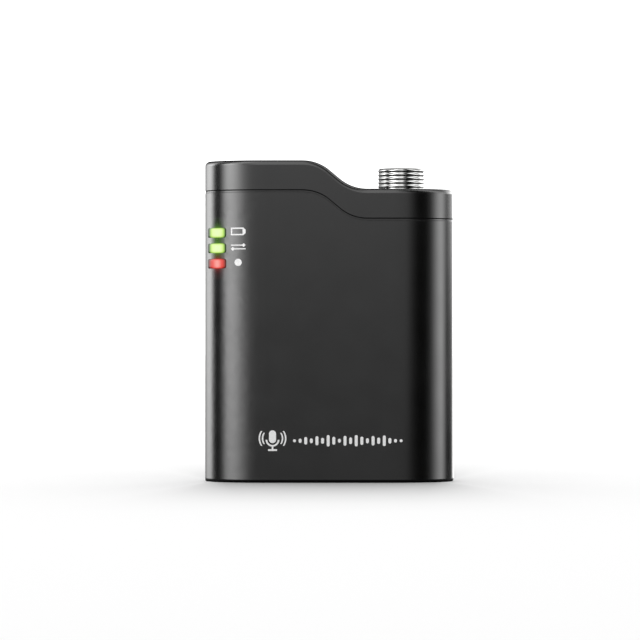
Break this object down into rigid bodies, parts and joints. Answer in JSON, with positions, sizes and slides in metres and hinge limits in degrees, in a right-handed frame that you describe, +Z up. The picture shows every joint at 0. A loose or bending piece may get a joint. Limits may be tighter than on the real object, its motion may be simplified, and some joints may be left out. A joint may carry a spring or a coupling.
{
  "type": "wireless bodypack transmitter",
  "caption": "Belt-worn wireless microphone transmitter with a stepped cap, lit side windows, a locking threaded jack sleeve, a sprung belt clip and a battery door in its base.",
  "frame": {"origin": "centre of the case underside, on the surface that it stands on", "axes": "+Z up through the case towards the connector, +X towards the lower deck with the connector, front faces -Y"},
  "size_m": [0.064, 0.0275, 0.0823],
  "materials": {
    "case_paint": "satin, fine grained",
    "cap_plastic": "satin, fine grained",
    "base_plastic": "fine matt texture",
    "gasket_rubber": "matt",
    "light_green": "clear window, lit green",
    "light_red": "clear window, lit red",
    "nickel": "turned, nickel plated",
    "inner_plastic": "moulded",
    "control_plastic": "fine matt texture",
    "contact_gold": "gold plated",
    "screw_steel": "plain",
    "screw_black": "black oxide",
    "clip_steel": "brushed",
    "clip_black": "satin black",
    "frame_metal": "plain",
    "socket_steel": "tinned",
    "board_green": "solder mask",
    "chip_black": "moulded",
    "led_white": "lit",
    "flex_film": "film",
    "antenna_copper": "copper foil",
    "battery_wrap": "moulded shell",
    "foam": "foam"
  },
  "bodies": {
    "root": {"antenna_carrier": "inner_plastic", "antenna_diversity": "antenna_copper", "antenna_main": "antenna_copper", "base_cap": "base_plastic", "base_gasket": "gasket_rubber", "base_screws": "screw_black", "battery_contacts": "contact_gold", "battery_pack": "battery_wrap", "battery_terminals": "contact_gold", "board_components": "chip_black", "board_screws": "screw_steel", "cap_screws": "screw_black", "charge_contacts": "contact_gold", "chassis": "frame_metal", "clip_bracket": "clip_black", "clip_nut_plate": "frame_metal", "clip_pin": "clip_steel", "clip_screws": "screw_black", "clip_spring": "clip_steel", "contact_block": "inner_plastic", "door_hinge_pin": "frame_metal", "flex_cable": "flex_film", "flex_connectors": "inner_plastic", "housing": "case_paint", "jack_body": "inner_plastic", "jack_bushing": "nickel", "jack_contacts": "contact_gold", "jack_retainer": "frame_metal", "jack_screws": "screw_steel", "jack_seal": "gasket_rubber", "led_board": "board_green", "light_pipe_battery": "light_green", "light_pipe_link": "light_green", "light_pipe_status": "light_red", "main_board": "board_green", "mute_switch": "inner_plastic", "power_switch": "socket_steel", "seam_gasket": "gasket_rubber", "shield_can": "socket_steel", "status_leds": "led_white", "top_board": "board_green", "top_board_screws": "screw_steel", "top_cap": "cap_plastic", "usb_socket": "socket_steel", "usb_tongue": "inner_plastic"},
    "belt_clip": {"clip_lever": "clip_steel"},
    "battery_door": {"battery_door": "base_plastic", "door_seal": "gasket_rubber", "battery_foam": "foam"},
    "power_button": {"power_button": "control_plastic"},
    "mute_slider": {"mute_slider": "control_plastic"}
  },
  "joints": [
    {"name": "belt_clip_hinge", "type": "hinge", "parent": "root", "child": "belt_clip", "pos_m": [0, 0.0136, 0.057], "axis": [1, 0, 0], "range_deg": [0, 18], "stiffness_Nm_per_rad": 0.37, "springref_deg": -7.73},
    {"name": "battery_door_hinge", "type": "hinge", "parent": "root", "child": "battery_door", "pos_m": [0, 0.0073, 0.0015], "axis": [1, 0, 0], "range_deg": [0, 95]},
    {"name": "power_button_press", "type": "slide", "parent": "root", "child": "power_button", "axis": [0, 0, -1], "range_m": [0, 0.0004], "stiffness_N_per_m": 3000, "springref_m": -0.0003},
    {"name": "mute_slider_slide", "type": "slide", "parent": "root", "child": "mute_slider", "axis": [1, 0, 0], "range_m": [0, 0.002]}
  ]
}
